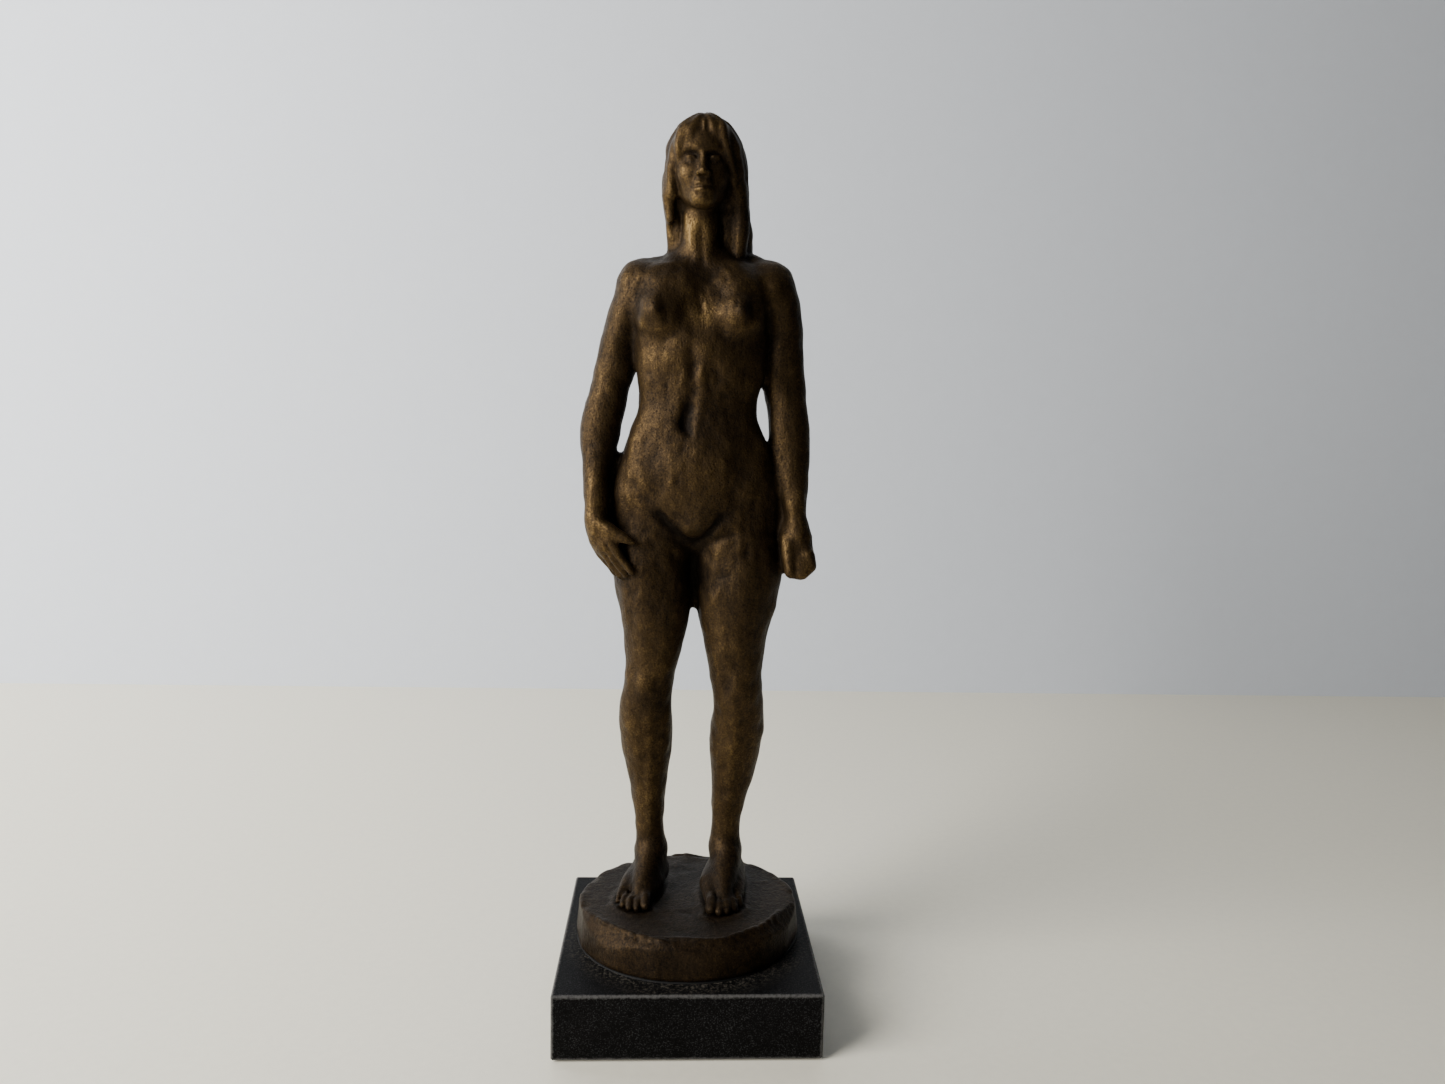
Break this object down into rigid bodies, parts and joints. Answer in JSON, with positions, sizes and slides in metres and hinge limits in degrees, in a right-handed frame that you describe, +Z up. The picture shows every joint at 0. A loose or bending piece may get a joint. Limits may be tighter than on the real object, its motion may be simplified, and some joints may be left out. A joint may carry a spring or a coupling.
{
  "type": "bronze statuette",
  "caption": "Standing female nude in patinated bronze, one hand on the thigh and the other a loose fist, on a low round plinth bolted to a square block of black granite.",
  "frame": {"origin": "middle of the footprint, on the plane that the undersides of the rubber feet stand on", "axes": "+Z up the figure, -Y the way the figure faces, +X towards the figure's left hand"},
  "size_m": [0.08, 0.08, 0.279],
  "materials": {
    "bronze": "cast bronze, brown patina rubbed back to gold on the raised forms",
    "granite": "satin black granite, sawn and honed",
    "steel": "zinc plated",
    "mastic": "cured black mastic",
    "rubber": "matte"
  },
  "bodies": {
    "root": {"figure": "bronze", "core_plug": "bronze", "plinth": "bronze", "ankle_screw_right": "steel", "ankle_screw_left": "steel", "ankle_washer_right": "steel", "ankle_washer_left": "steel", "bedding_ring": "mastic", "granite_block": "granite", "stud_front": "steel", "stud_rear": "steel", "stud_washer_front": "steel", "stud_washer_rear": "steel", "stud_nut_front": "steel", "stud_nut_rear": "steel", "rubber_foot_front_right": "rubber", "rubber_foot_front_left": "rubber", "rubber_foot_rear_right": "rubber", "rubber_foot_rear_left": "rubber"}
  },
  "joints": []
}
